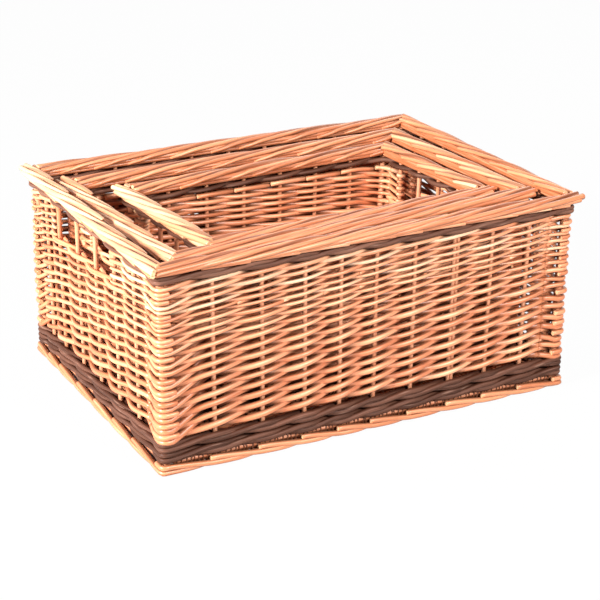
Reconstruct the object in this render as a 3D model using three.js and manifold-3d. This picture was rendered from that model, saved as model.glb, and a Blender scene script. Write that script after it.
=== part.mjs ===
// A nest of three rectangular willow storage baskets, in millimetres, +Z up.
// The outer basket stands on z = 0 with its centre on the Z axis and its long side along X.
// Each smaller basket stands on the base of the next one out, and can be lifted straight out of it.
//
// Every basket is built as it is woven: a base mat, a foot border under the walls, stakes and corner posts
// that rise from edge sticks, a dark wale, buff weave that passes in front of one stake and behind the next,
// a second dark wale, and a wide border over the stakes' ends. The ends have a handle hole each.
// The weave is coarser than the real one: a course stands for about two rows of rods.

import * as THREE from "three";
import { mergeVertices } from "three/addons/utils/BufferGeometryUtils.js";
import Module from "manifold-3d";

// Overall size of the outer basket, over its rim.
const OUTER_LENGTH = 560;
const OUTER_WIDTH = 408;
const OUTER_HEIGHT = 248;

// How the smaller baskets stand in the next one out: the play of the rim in the opening, the part of it that
// is left at the right and at the back, the angle of turn in degrees, and the drop from rim to rim.
const MIDDLE_PLAY = { long: 16, wide: 45, right: 3, back: 12, turn: 1.8 };
const INNER_PLAY = { long: 44, wide: 26, right: 5, back: 6, turn: 1.1 };
const RIM_DROP = 6.2;

// Rods. GAP is the clearance between pieces that touch on the real basket.
const ROD = 5;
const STAKE = 6.4;
const POST = 10;
const STAKE_SPACING = 55;
const GAP = 0.3;

// Heights of a wall's bands, from the floor up, and how far each end leans out from floor to rim.
const FOOT_HEIGHT = 9;
const EDGE_STICK_HEIGHT = 5;
const EDGE_STICK_WIDTH = 8;
const LOWER_WALE_HEIGHT = 26;
const COURSE_HEIGHT = 13;
const UPPER_WALE_HEIGHT = 11.5;
const BORDER_HEIGHT = 13;
const END_LEAN = 4;

// The border's width and how far it stands out over the wall, and the same for the foot.
const BORDER_WIDTH = 22;
const BORDER_OVERHANG = 7;
const FOOT_WIDTH = 16;
const FOOT_OVERHANG = 1.5;

// The strokes of the border and the foot: how much lower and shallower a stroke is at its tail.
const BORDER_SHOULDER = 3.5;
const STROKE_STEP = 1.6;
const FOOT_TAIL = 2.6;

// The handle hole in each end.
const HOLE_HEIGHT = 36;
const HOLE_BAYS = 3;

// How far the stakes of the outer basket's front and left walls stand to the right of even places. The left
// handle hole lies off the middle of its wall with them.
const OUTER_STAKE_SHIFTS = {
  front: [8, 15, 16, 9, 2, 0, 3, 0, -1],
  left: [-17, -29, -23, -20, -17, -14],
};

// The base mat: its strips run across the basket, over and under the lengthwise sticks. It is thinner by the
// relief between the sticks, and by the step where a stick shows between the strips.
const BASE_TOP = 17.5;
const BASE_THICKNESS = 9;
const BASE_RELIEF = 2;
const BASE_STEP = 0.9;
const BASE_STICK_SPACING = 62;
const BASE_STRIP_WIDTH = 62;

// How far the bands of rods round a corner post reach past the post along the wall.
const WRAP_REACH = 2;

// Distances out from the middle of a wall.
const STAKE_HALF = STAKE / 2;
const COURSE_INNER = STAKE_HALF + GAP;
const COURSE_MIDDLE = COURSE_INNER + ROD / 2;
const COURSE_OUTER = COURSE_INNER + ROD;
const POST_INNER = STAKE_HALF - POST;
const BAND_START = POST_INNER - WRAP_REACH;
const RIM_OUTER = COURSE_OUTER + BORDER_OVERHANG;
const RIM_INNER = RIM_OUTER - BORDER_WIDTH;
const FOOT_OUTER = COURSE_OUTER + FOOT_OVERHANG;
const FOOT_INNER = FOOT_OUTER - FOOT_WIDTH;

// Points nearer to each other than this are one point.
const WELD = 1e-3;

const wasm = await Module();
wasm.setup();

const MATERIALS = {
  weave: new THREE.MeshStandardMaterial({ color: 0xd9935c, roughness: 0.5, metalness: 0 }),
  border: new THREE.MeshStandardMaterial({ color: 0xdda066, roughness: 0.5, metalness: 0 }),
  stake: new THREE.MeshStandardMaterial({ color: 0xc98b57, roughness: 0.55, metalness: 0 }),
  wale: new THREE.MeshStandardMaterial({ color: 0x5b4138, roughness: 0.55, metalness: 0 }),
  base: new THREE.MeshStandardMaterial({ color: 0xcf9560, roughness: 0.6, metalness: 0 }),
};

// A closed geometry from triangles that are given as three points each.
function geometryOf(triangles) {
  const loose = new THREE.BufferGeometry();
  loose.setAttribute("position", new THREE.Float32BufferAttribute(triangles.flat(2), 3));
  const geometry = mergeVertices(loose, WELD);
  geometry.computeVertexNormals();
  return geometry;
}

function solidOf(triangles) {
  const merged = geometryOf(triangles);
  const vertProperties = merged.attributes.position.array;
  const triVerts = new Uint32Array(merged.index.array);
  return new wasm.Manifold(new wasm.Mesh({ numProp: 3, vertProperties, triVerts }));
}

// One closed geometry from several closed bodies that overlap.
function join(bodies) {
  const whole = bodies.map(solidOf).reduce((sum, next) => sum.add(next));
  const { vertProperties, triVerts } = whole.getMesh();
  const geometry = new THREE.BufferGeometry();
  geometry.setAttribute("position", new THREE.Float32BufferAttribute(vertProperties, 3));
  geometry.setIndex(new THREE.Uint32BufferAttribute(triVerts, 1));
  geometry.computeVertexNormals();
  return geometry;
}

const quad = (a, b, c, d) => [
  [a, b, c],
  [a, c, d],
];

// The skin between each section and the next. All sections have as many points, in order anticlockwise
// when they are looked at along the direction of travel.
function skin(sections) {
  const triangles = [];
  for (let i = 0; i + 1 < sections.length; i += 1) {
    const [here, there] = [sections[i], sections[i + 1]];
    here.forEach((point, k) => {
      const next = (k + 1) % here.length;
      triangles.push(...quad(point, there[k], there[next], here[next]));
    });
  }
  return triangles;
}

// The flat end of a skin: facing back along the travel, or along it when it is the far end.
function cap(section, far) {
  const triangles = [];
  for (let k = 1; k + 1 < section.length; k += 1) {
    const [a, b, c] = [section[0], section[k], section[k + 1]];
    triangles.push(far ? [a, c, b] : [a, b, c]);
  }
  return triangles;
}

// A bar with two flat ends, and a ring that closes on its first section.
const bar = (sections) => [
  ...skin(sections),
  ...cap(sections[0], false),
  ...cap(sections[sections.length - 1], true),
];
const ring = (sections) => skin([...sections, sections[0]]);

// The walls follow each other anticlockwise from above, each running from its own left to its own right as
// it is seen from outside. At the right end of a wall, the next one starts.
const SIDES = ["front", "right", "back", "left"];
const isEnd = (side) => side === "left" || side === "right";

class Basket {
  constructor(name, length, width, height, stakeShifts = {}) {
    this.name = name;
    this.stakeShifts = stakeShifts;
    this.length = length;
    this.width = width;
    this.height = height;
    this.stickBottom = FOOT_HEIGHT + GAP;
    this.waleBottom = this.stickBottom + EDGE_STICK_HEIGHT + GAP;
    this.weaveBottom = this.waleBottom + LOWER_WALE_HEIGHT + GAP;
    this.borderBottom = height - BORDER_HEIGHT;
    this.upperWaleBottom = this.borderBottom - GAP - UPPER_WALE_HEIGHT;
    this.weaveTop = this.upperWaleBottom - GAP;
    this.sill = this.weaveTop - HOLE_HEIGHT;
    this.widestLevel = this.borderBottom + BORDER_SHOULDER;
    this.bays = {};
    for (const side of SIDES) {
      const spacings = (2 * this.halfRun(side, this.widestLevel)) / STAKE_SPACING;
      const besideHole = Math.max(1, Math.round((spacings - HOLE_BAYS) / 2));
      this.bays[side] = isEnd(side) ? HOLE_BAYS + 2 * besideHole : Math.round(spacings);
    }
  }

  // Half the run of a wall's middle plane between the middle planes of its neighbours, at a height.
  halfRun(side, z) {
    if (isEnd(side)) return this.width / 2 - RIM_OUTER;
    return this.length / 2 - RIM_OUTER - END_LEAN * (1 - z / this.widestLevel);
  }

  // A point of a wall: share is the place along it from -1 to 1, along is a distance from there, and out is
  // the distance out from the wall's middle plane.
  point(side, share, along, out, z) {
    const neighbour = isEnd(side) ? "front" : "left";
    const run = share * this.halfRun(side, z) + along;
    const across = this.halfRun(neighbour, z) + out;
    if (side === "front") return [run, -across, z];
    if (side === "right") return [across, run, z];
    if (side === "back") return [-run, across, z];
    return [-across, -run, z];
  }

  // A section across a wall's run, from its outline in distances out and heights.
  section(side, share, along, outline) {
    return outline.map(([out, z]) => this.point(side, share, along, out, z));
  }

  // The mitred section at a wall's right corner.
  mitre(side, outline) {
    return outline.map(([out, z]) => this.point(side, 1, out, out, z));
  }

  // The place of a stake along its wall, from -1 to 1.
  stakeShare(side, stake) {
    const shift = this.stakeShifts[side]?.[stake - 1] ?? 0;
    return (2 * stake) / this.bays[side] - 1 + shift / this.halfRun(side, this.widestLevel);
  }
}

// A course's outline has its ridge outwards, and stays a little inside its own height.
function rodOutline(middle, low, high) {
  const back = middle - ROD / 2;
  return [
    [back, low + GAP],
    [back + ROD, (low + high) / 2],
    [back, high - GAP],
  ];
}

function barOutline(inner, outer, low, high) {
  return [
    [inner, low],
    [outer, low],
    [outer, high],
    [inner, high],
  ];
}

// One course of weave past the stakes first to last. At a corner it ends on the band there, and at the side
// of a hole it turns off just past the stake.
function course(basket, side, row, first, last) {
  const { low, high, parity } = row;
  const bays = basket.bays[side];
  const sections = [];
  const triangles = [];
  for (let stake = first; stake <= last; stake += 1) {
    if (stake === 0 || stake === bays) {
      const end = stake === 0 ? -1 : 1;
      sections.push(basket.section(side, end, end * BAND_START, rodOutline(COURSE_MIDDLE, low, high)));
      continue;
    }
    const share = basket.stakeShare(side, stake);
    const inFront = (stake + parity) % 2 === 0;
    const outline = rodOutline(inFront ? COURSE_MIDDLE : -COURSE_MIDDLE, low, high);
    if (stake === first) sections.push(basket.section(side, share, -STAKE, outline));
    sections.push(basket.section(side, share, 0, outline));
    if (stake === last) sections.push(basket.section(side, share, STAKE, outline));
  }
  if (first > 0) triangles.push(...cap(sections[0], false));
  if (last < bays) triangles.push(...cap(sections[sections.length - 1], true));
  return [...triangles, ...skin(sections)];
}

// The band that the rods make round one half of a corner post, up to the corner's mitre. The face that looks
// along the wall is open where a course runs into it, so that the band and its courses are one body.
function wrapBand(basket, side, end, rows) {
  const low = rows[0].low + GAP / 2;
  const high = rows[rows.length - 1].high - GAP / 2;
  const start = (out, z) => basket.point(side, end, end * BAND_START, out, z);
  const corner = (out, z) => basket.point(side, end, end * (out - GAP), out, z);
  const outlines = rows.map((row) => rodOutline(COURSE_MIDDLE, row.low, row.high));
  const ridges = [low, ...outlines.map(([, ridge]) => ridge[1]), high];
  const under = [...outlines.map(([bottom]) => bottom[1]), high];
  const over = [low, ...outlines.map(([, , top]) => top[1])];
  const edges = under.flatMap((z, k) => [over[k], z]);
  const triangles = [];
  for (let k = 0; k + 1 < ridges.length; k += 1) {
    const [lower, upper] = [start(COURSE_OUTER, ridges[k]), start(COURSE_OUTER, ridges[k + 1])];
    triangles.push(...quad(lower, upper, start(COURSE_INNER, under[k]), start(COURSE_INNER, over[k])));
    triangles.push([lower, corner(COURSE_OUTER, low), upper]);
  }
  for (let k = 0; k + 1 < edges.length; k += 1) {
    const [lower, upper] = [start(COURSE_INNER, edges[k]), start(COURSE_INNER, edges[k + 1])];
    triangles.push([upper, corner(COURSE_INNER, low), lower]);
  }
  const [innerLow, outerLow] = [corner(COURSE_INNER, low), corner(COURSE_OUTER, low)];
  const [innerHigh, outerHigh] = [corner(COURSE_INNER, high), corner(COURSE_OUTER, high)];
  const [innerStart, outerStart] = [start(COURSE_INNER, high), start(COURSE_OUTER, high)];
  triangles.push([outerStart, outerLow, outerHigh], [innerStart, innerHigh, innerLow]);
  triangles.push(...quad(innerLow, innerHigh, outerHigh, outerLow));
  triangles.push(...quad(start(COURSE_INNER, low), innerLow, outerLow, start(COURSE_OUTER, low)));
  triangles.push(...quad(outerStart, outerHigh, innerHigh, innerStart));
  return end > 0 ? triangles : triangles.map(([a, b, c]) => [a, c, b]);
}

// The weave of one wall between two heights, past the stakes first to last.
function weave(basket, side, low, high, first, last) {
  const count = Math.round((high - low) / COURSE_HEIGHT);
  const pitch = (high - low) / count;
  const rows = Array.from({ length: count }, (_, k) => ({
    low: low + k * pitch,
    high: low + (k + 1) * pitch,
    parity: k,
  }));
  const triangles = rows.flatMap((row) => course(basket, side, row, first, last));
  if (first === 0) triangles.push(...wrapBand(basket, side, -1, rows));
  if (last === basket.bays[side]) triangles.push(...wrapBand(basket, side, 1, rows));
  return geometryOf(triangles);
}

// One round of a wale: it passes outside every corner and the stakes beside it, and behind every third stake
// between them.
function waleRound(basket, round, low, high) {
  const sections = [];
  for (const side of SIDES) {
    const last = basket.bays[side] - 1;
    for (let stake = 1; stake <= last; stake += 1) {
      const behind = stake > 1 && stake < last && (stake + 1 - round) % 3 === 0;
      const outline = rodOutline(behind ? -COURSE_MIDDLE : COURSE_MIDDLE, low, high);
      sections.push(basket.section(side, basket.stakeShare(side, stake), 0, outline));
    }
    sections.push(basket.mitre(side, rodOutline(COURSE_MIDDLE, low, high)));
  }
  return sections;
}

// The lower wale is one bundle of rods that goes round twice, with its step up at the front left corner.
function lowerWale(basket) {
  const rise = LOWER_WALE_HEIGHT / 2;
  const first = waleRound(basket, 0, basket.waleBottom, basket.waleBottom + rise);
  const second = waleRound(basket, 1, basket.waleBottom + rise, basket.waleBottom + 2 * rise);
  return geometryOf(bar([...first, ...second]));
}

function upperWale(basket) {
  const low = basket.upperWaleBottom;
  return geometryOf(ring(waleRound(basket, 0, low, low + UPPER_WALE_HEIGHT)));
}

// A ring of overlapping strokes, one from each stake to the next. outlineAt gives its outline at a share of
// the stroke, from 0 at its head to 1 at its tail.
function strokeRing(basket, outlineAt) {
  const sections = [];
  for (const side of SIDES) {
    for (let stake = 1; stake < basket.bays[side]; stake += 1) {
      const share = basket.stakeShare(side, stake);
      sections.push(basket.section(side, share, -STROKE_STEP, outlineAt(1)));
      sections.push(basket.section(side, share, STROKE_STEP, outlineAt(0)));
    }
    sections.push(basket.mitre(side, outlineAt(0.5)));
  }
  return geometryOf(ring(sections));
}

// The rim: each stroke starts at the inner edge and crosses to the outer edge, under the next one's start.
function rimBorder(basket) {
  const low = basket.borderBottom;
  const crestInner = RIM_INNER + BORDER_SHOULDER;
  const crestOuter = RIM_OUTER - BORDER_SHOULDER;
  return strokeRing(basket, (t) => [
    [RIM_INNER, low],
    [COURSE_OUTER, low],
    [RIM_OUTER, low + BORDER_SHOULDER],
    [crestInner + t * (crestOuter - crestInner), basket.height],
    [RIM_INNER, basket.height - BORDER_SHOULDER],
  ]);
}

// The foot: flat underneath, with strokes that thin towards their tails.
function footBorder(basket) {
  return strokeRing(basket, (t) =>
    barOutline(FOOT_INNER, FOOT_OUTER - t * FOOT_OVERHANG, 0, FOOT_HEIGHT - t * FOOT_TAIL),
  );
}

// An upright rod of the wall, from inside the edge stick to the border. Its section is given as distances
// along and out from its place.
function upright(basket, side, share, outline) {
  const low = basket.stickBottom + GAP;
  const high = basket.borderBottom - GAP;
  const level = (z) => outline.map(([along, out]) => basket.point(side, share, along, out, z));
  return bar([level(low), level(high)]);
}

function stakes(basket, side) {
  const low = basket.stickBottom;
  const outline = barOutline(-EDGE_STICK_WIDTH / 2, EDGE_STICK_WIDTH / 2, low, low + EDGE_STICK_HEIGHT);
  const reach = isEnd(side) ? POST_INNER - GAP : EDGE_STICK_WIDTH / 2;
  const pieces = [
    bar([basket.section(side, -1, -reach, outline), basket.section(side, 1, reach, outline)]),
  ];
  const rod = [
    [STAKE_HALF, 0],
    [0, STAKE_HALF],
    [-STAKE_HALF, 0],
    [0, -STAKE_HALF],
  ];
  for (let stake = 1; stake < basket.bays[side]; stake += 1) {
    pieces.push(upright(basket, side, basket.stakeShare(side, stake), rod));
  }
  if (!isEnd(side)) {
    for (const end of [-1, 1]) {
      const near = Math.min(end * STAKE_HALF, end * POST_INNER);
      const far = near + POST;
      const post = [
        [far, POST_INNER],
        [far, STAKE_HALF],
        [near, STAKE_HALF],
        [near, POST_INNER],
      ];
      pieces.push(upright(basket, side, end, post));
    }
  }
  return join(pieces);
}

// The base mat fills the space inside the walls. It is thick along the sticks, where a strip passes over one
// stick and under the next, and thin along the lines between them.
function baseMat(basket) {
  const low = BASE_TOP - BASE_THICKNESS;
  const halfLength = basket.halfRun("front", low) - COURSE_OUTER - GAP;
  const halfWidth = basket.halfRun("left", low) - COURSE_OUTER - GAP;
  const strips = Math.round((2 * halfLength) / BASE_STRIP_WIDTH);
  const sticks = Math.round((2 * halfWidth) / BASE_STICK_SPACING);
  const lines = 2 * sticks;
  const depth = (i, j, facing) => {
    if (j % 2 === 1) return BASE_RELIEF;
    return (i + j / 2) % 2 === facing ? 0 : BASE_STEP;
  };
  const point = (i, j, z) => [halfLength * ((2 * i) / strips - 1), halfWidth * ((2 * j) / lines - 1), z];
  const under = (i, j) => point(i, j, low + depth(i, j, 0));
  const over = (i, j) => point(i, j, BASE_TOP - depth(i, j, 1));
  const triangles = [];
  for (let i = 0; i < strips; i += 1) {
    for (let j = 0; j < lines; j += 1) {
      triangles.push(...quad(under(i, j), under(i, j + 1), under(i + 1, j + 1), under(i + 1, j)));
      triangles.push(...quad(over(i, j), over(i + 1, j), over(i + 1, j + 1), over(i, j + 1)));
    }
  }
  for (let i = 0; i < strips; i += 1) {
    triangles.push(...quad(under(i, 0), under(i + 1, 0), over(i + 1, 0), over(i, 0)));
    triangles.push(...quad(under(i + 1, lines), under(i, lines), over(i, lines), over(i + 1, lines)));
  }
  for (let j = 0; j < lines; j += 1) {
    triangles.push(...quad(under(strips, j), under(strips, j + 1), over(strips, j + 1), over(strips, j)));
    triangles.push(...quad(under(0, j + 1), under(0, j), over(0, j), over(0, j + 1)));
  }
  return geometryOf(triangles);
}

// All the pieces of one basket, as named meshes in a group that stands on its own z = 0.
function makeBasket(basket) {
  const group = new THREE.Group();
  const add = (name, geometry, material) => {
    const mesh = new THREE.Mesh(geometry, MATERIALS[material]);
    mesh.name = `${basket.name}_${name}`;
    group.add(mesh);
  };
  const { weaveBottom, weaveTop, sill } = basket;
  add("base_mat", baseMat(basket), "base");
  add("foot_border", footBorder(basket), "border");
  add("lower_wale", lowerWale(basket), "wale");
  add("upper_wale", upperWale(basket), "wale");
  add("rim_border", rimBorder(basket), "border");
  for (const side of SIDES) {
    const bays = basket.bays[side];
    add(`${side}_stakes`, stakes(basket, side), "stake");
    if (!isEnd(side)) {
      add(`${side}_weave`, weave(basket, side, weaveBottom, weaveTop, 0, bays), "weave");
      continue;
    }
    const beside = (bays - HOLE_BAYS) / 2;
    const beyond = bays - beside;
    const [before, after] = side === "right" ? ["front", "back"] : ["back", "front"];
    add(`${side}_weave`, weave(basket, side, weaveBottom, sill, 0, bays), "weave");
    add(`${side}_weave_${before}_of_hole`, weave(basket, side, sill, weaveTop, 0, beside), "weave");
    add(`${side}_weave_${after}_of_hole`, weave(basket, side, sill, weaveTop, beyond, bays), "weave");
  }
  return group;
}

// The next smaller basket: its size follows from the opening and the floor of the one that it stands in.
function smaller(name, outside, play) {
  const opening = 2 * (RIM_OUTER + COURSE_OUTER);
  const length = outside.length - opening - play.long;
  const width = outside.width - opening - play.wide;
  return new Basket(name, length, width, outside.height - RIM_DROP - BASE_TOP - GAP);
}

// Stands a basket's group in the group of the next one out, turned a little and towards the back right.
function standIn(outside, outsideGroup, basket, play) {
  const group = makeBasket(basket);
  const turn = THREE.MathUtils.degToRad(play.turn);
  const reachX = (basket.length * Math.cos(turn) + basket.width * Math.sin(turn)) / 2;
  const reachY = (basket.length * Math.sin(turn) + basket.width * Math.cos(turn)) / 2;
  const openX = outside.length / 2 - RIM_OUTER - COURSE_OUTER;
  const openY = outside.width / 2 - RIM_OUTER - COURSE_OUTER;
  group.position.set(openX - play.right - reachX, openY - play.back - reachY, BASE_TOP + GAP);
  group.rotation.z = turn;
  outsideGroup.add(group);
  return group;
}

const outer = new Basket("outer", OUTER_LENGTH, OUTER_WIDTH, OUTER_HEIGHT, OUTER_STAKE_SHIFTS);
const middle = smaller("middle", outer, MIDDLE_PLAY);
const inner = smaller("inner", middle, INNER_PLAY);

const outerGroup = makeBasket(outer);
const middleGroup = standIn(outer, outerGroup, middle, MIDDLE_PLAY);
standIn(middle, middleGroup, inner, INNER_PLAY);

const nest = new THREE.Group();
nest.add(outerGroup);

export default nest;
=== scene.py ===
# A nest of three rectangular willow storage baskets, in metres, +Z up.
# Every basket is woven here rod by rod, on the plan that its CAD solids give: stakes and corner posts, a
# dark three-rod wale, buff French randing that climbs one row from stake to stake, a second dark wale, a
# wide border over the stakes' ends, a foot border and a base mat.

import math

import bpy
import numpy as np
from mathutils import Matrix, Vector


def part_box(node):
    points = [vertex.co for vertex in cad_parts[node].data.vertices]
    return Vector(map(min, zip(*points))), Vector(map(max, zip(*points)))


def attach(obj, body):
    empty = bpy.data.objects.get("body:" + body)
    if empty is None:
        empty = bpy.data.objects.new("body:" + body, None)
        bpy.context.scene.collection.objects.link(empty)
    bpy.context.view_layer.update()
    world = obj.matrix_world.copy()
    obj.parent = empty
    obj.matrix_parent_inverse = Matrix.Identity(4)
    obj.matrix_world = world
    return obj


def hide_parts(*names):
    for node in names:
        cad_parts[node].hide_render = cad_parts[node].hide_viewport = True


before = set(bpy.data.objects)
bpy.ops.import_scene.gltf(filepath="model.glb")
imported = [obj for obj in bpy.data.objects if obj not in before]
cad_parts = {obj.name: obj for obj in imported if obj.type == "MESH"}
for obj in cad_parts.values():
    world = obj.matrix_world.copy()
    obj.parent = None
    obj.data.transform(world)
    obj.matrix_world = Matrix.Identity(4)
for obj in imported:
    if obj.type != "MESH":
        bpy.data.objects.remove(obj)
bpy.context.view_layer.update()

FRONT, RIGHT, BACK, LEFT = range(4)
SIDE_NAMES = ("front", "right", "back", "left")
ALONG = np.array([(1, 0), (0, 1), (-1, 0), (0, -1)], float)
OUTWARD = np.array([(0, -1), (1, 0), (0, 1), (-1, 0)], float)
UP = (0, 0, 1)
NORTH = (0, 1, 0)

# The plan, as the CAD has it. The end walls lean in towards the foot. A hole's sill lies lower by the drop.
RIM_OUT = 0.0155
END_LEAN = 0.004
LEAN_TOP = 0.0035
HOLE_BAYS = 3
SILL_DROP = 0.005

# Where the stakes of the outer basket's front and left walls stand to the right of even places.
STAKE_SHIFTS = {
    ("outer", FRONT): (0.008, 0.015, 0.016, 0.009, 0.002, 0.0, 0.003, 0.0, -0.001),
    ("outer", LEFT): (-0.017, -0.029, -0.023, -0.020, -0.017, -0.014),
}

# Rods. The bend is how near to a corner a rod starts to turn: it is wide for what goes inside the corner
# post. The turn is the greatest radius of a rod's own line there.
STAKE_RADIUS = 0.0029
DOUBLED_RADIUS = 0.0024
POST_RADIUS = 0.0046
POST_INSET = 0.0018
OUTSIDE_BEND = 0.006
INSIDE_BEND = 0.013
WEAVE_TURN = 0.0066
WALE_TURN = 0.0050
FOOT_TURN = 0.0032

# A rod's line: steps in a bay, places round a corner in bends, the least step, and numbers of points.
STEPS_PER_BAY = 12
CORNER_STEPS = (-1, -0.8, -0.6, -0.4, -0.2, 0, 0.2, 0.4, 0.6, 0.8, 1)
LEAST_STEP = 0.004
FEWEST_POINTS = 3
LONG_ROD_POINTS = 40

# A rod's section, its bevelled ends, its uneven thickness, and how strongly painted shade darkens its inner
# side.
SIDES = 10
CORE_SIDES = 8
END_BEVEL = 0.22
END_BEVEL_RADIUS = 0.84
UNEVENNESS = 0.035
UNEVEN_WAVES = (30, 60)
PHASE = (0, 6)
INSET_SHADE = 1.5
GRAIN_LENGTH = 40

# The rows of the weave are thick at the floor, thin out towards the tips of the rods, and end a little
# thicker with a second set of rods. Shares of the height and relative thickness. The fill is a rod's radius
# in rows, at the floor and at the rim. For the front, right, back and left wall, the reach is how far the
# rods swing out round the stakes, against what stiff round ones would, the fullness how thick they are
# against the front's, and then comes how much darker their tone is, as painted shade on the right and back
# walls. The rise is how much steeper they climb in front of a stake, in radii.
ROW_PLACES = (0.0, 0.42, 0.74, 0.86, 1.0)
ROW_THICKNESS = (1.24, 1.16, 0.80, 0.84, 1.0)
SECOND_SET = 0.76
ROD_FILL = {"outer": (0.58, 0.49), "middle": (0.68, 0.66), "inner": (0.62, 0.57)}
WEAVE_REACH = (0.80, 0.72, 0.64, 0.80)
WEAVE_FULLNESS = (1.0, 1.04, 1.08, 0.91)
WEAVE_PAINTED_SHADE = (0.0, 0.1, 0.3, 0.0)
WEAVE_RISE = 0.32
# Painted shade on the edges of the weave's rods, where they lie between others.
WEAVE_CREASE_SHADE = 0.8
WEAVE_THICKNESS = (0.86, 1.10)
WEAVE_TONES = (0.0, 0.75)
TONE_CLIMB = 0.1
STRAY = 0.0006
STRAY_WAVES = (0.7, 1.3)

# Where a rod of the first set starts, how far short of the last row one of the second stops, for an even
# and an odd number of rows, and how the first's tail lies behind and under the second's head.
FIRST_LEVEL = -0.25
SHORT_OF_TOP = (0.05, 0.75)
SWAP_CHOICES = (-2, 0, 0, 2)
SWAP_OVERLAP = 0.5
JOIN_OUT = 0.0012
JOIN_DOWN = 0.0008
TAIL_THINNER = 0.2
SECOND_THICKER = 1.03
SECOND_LIGHTER = 0.22

# The rods dip where they pass a corner: the depth in rows at shares of the height, and how far from the
# corner they are level and how far they dip at all, in bays.
DIP_PLACES = (0.0, 0.27, 0.43, 0.9, 1.0)
DIP_ROWS = (1.75, 1.4, 0.7, 0.55, 0.3)
DIP_LEVEL = 0.11
DIP_REACH = (0.75, 0.84)
DIP_CURVE = 1.6
LOWEST_PASSING = 0.0015

# The packing rods round a corner post: how far they reach along the walls before and after the corner, at
# the floor and at the rim, and how far the rods beside a missing one close up, in rows.
WRAP_BEFORE = (0.0095, 0.0070)
WRAP_AFTER = (0.0125, 0.0065)
WRAP_THICK = 0.56
WRAP_CHANCE = 0.75
WRAP_LENGTHS = (0.92, 1.08)
WRAP_PRESS = 0.0006
WRAP_CLIMB = 0.0016
WRAP_TONES = (0.0, 0.5)
CLOSING_UP = 0.42

# The way of a cut rod back round a handle hole's edge stake, and the two twisted rods of the sill.
HOOK_START = 0.15
HOOK_POINTS = 7
HOOK_CLIMB = 0.0018
SHORTEST_PART = 6
SILL_REACH = 0.6
SILL_SWING = 0.0052
SILL_TWIST = 0.0012
SILL_SEAT = 0.0028

# Tolerances, in bays.
HOLE_EDGE = 1e-6
ON_EDGE = 1e-3
BETWEEN_WALLS = 1e-4

# Plain rods: radius, ranges of thickness and tone, and the options of their tubes.
PLAIN_RODS = {
    "sill": (0.0025, None, (0.3, 0.9), {}),
    "stake": (STAKE_RADIUS, (0.95, 1.05), (0.55, 1.0), {"sides": CORE_SIDES, "up": NORTH}),
    "half stake": (DOUBLED_RADIUS, (0.95, 1.05), (0.55, 1.0), {"sides": CORE_SIDES, "up": NORTH}),
    "post": (POST_RADIUS, None, (0.4, 0.8), {"up": NORTH}),
    # The base ends are painted in shade all round.
    "base end": (0.0016, None, (0.0, 0.6), {"sides": 6, "up": NORTH, "shade": 0.86}),
    "under border": (0.0020, (0.9, 1.1), (0.4, 0.9), {}),
    "stick": (0.0032, None, (0.2, 0.7), {"sides": CORE_SIDES}),
    "base": (0.0025, (0.93, 1.0), (0.1, 0.8), {"sides": CORE_SIDES}),
}


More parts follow.
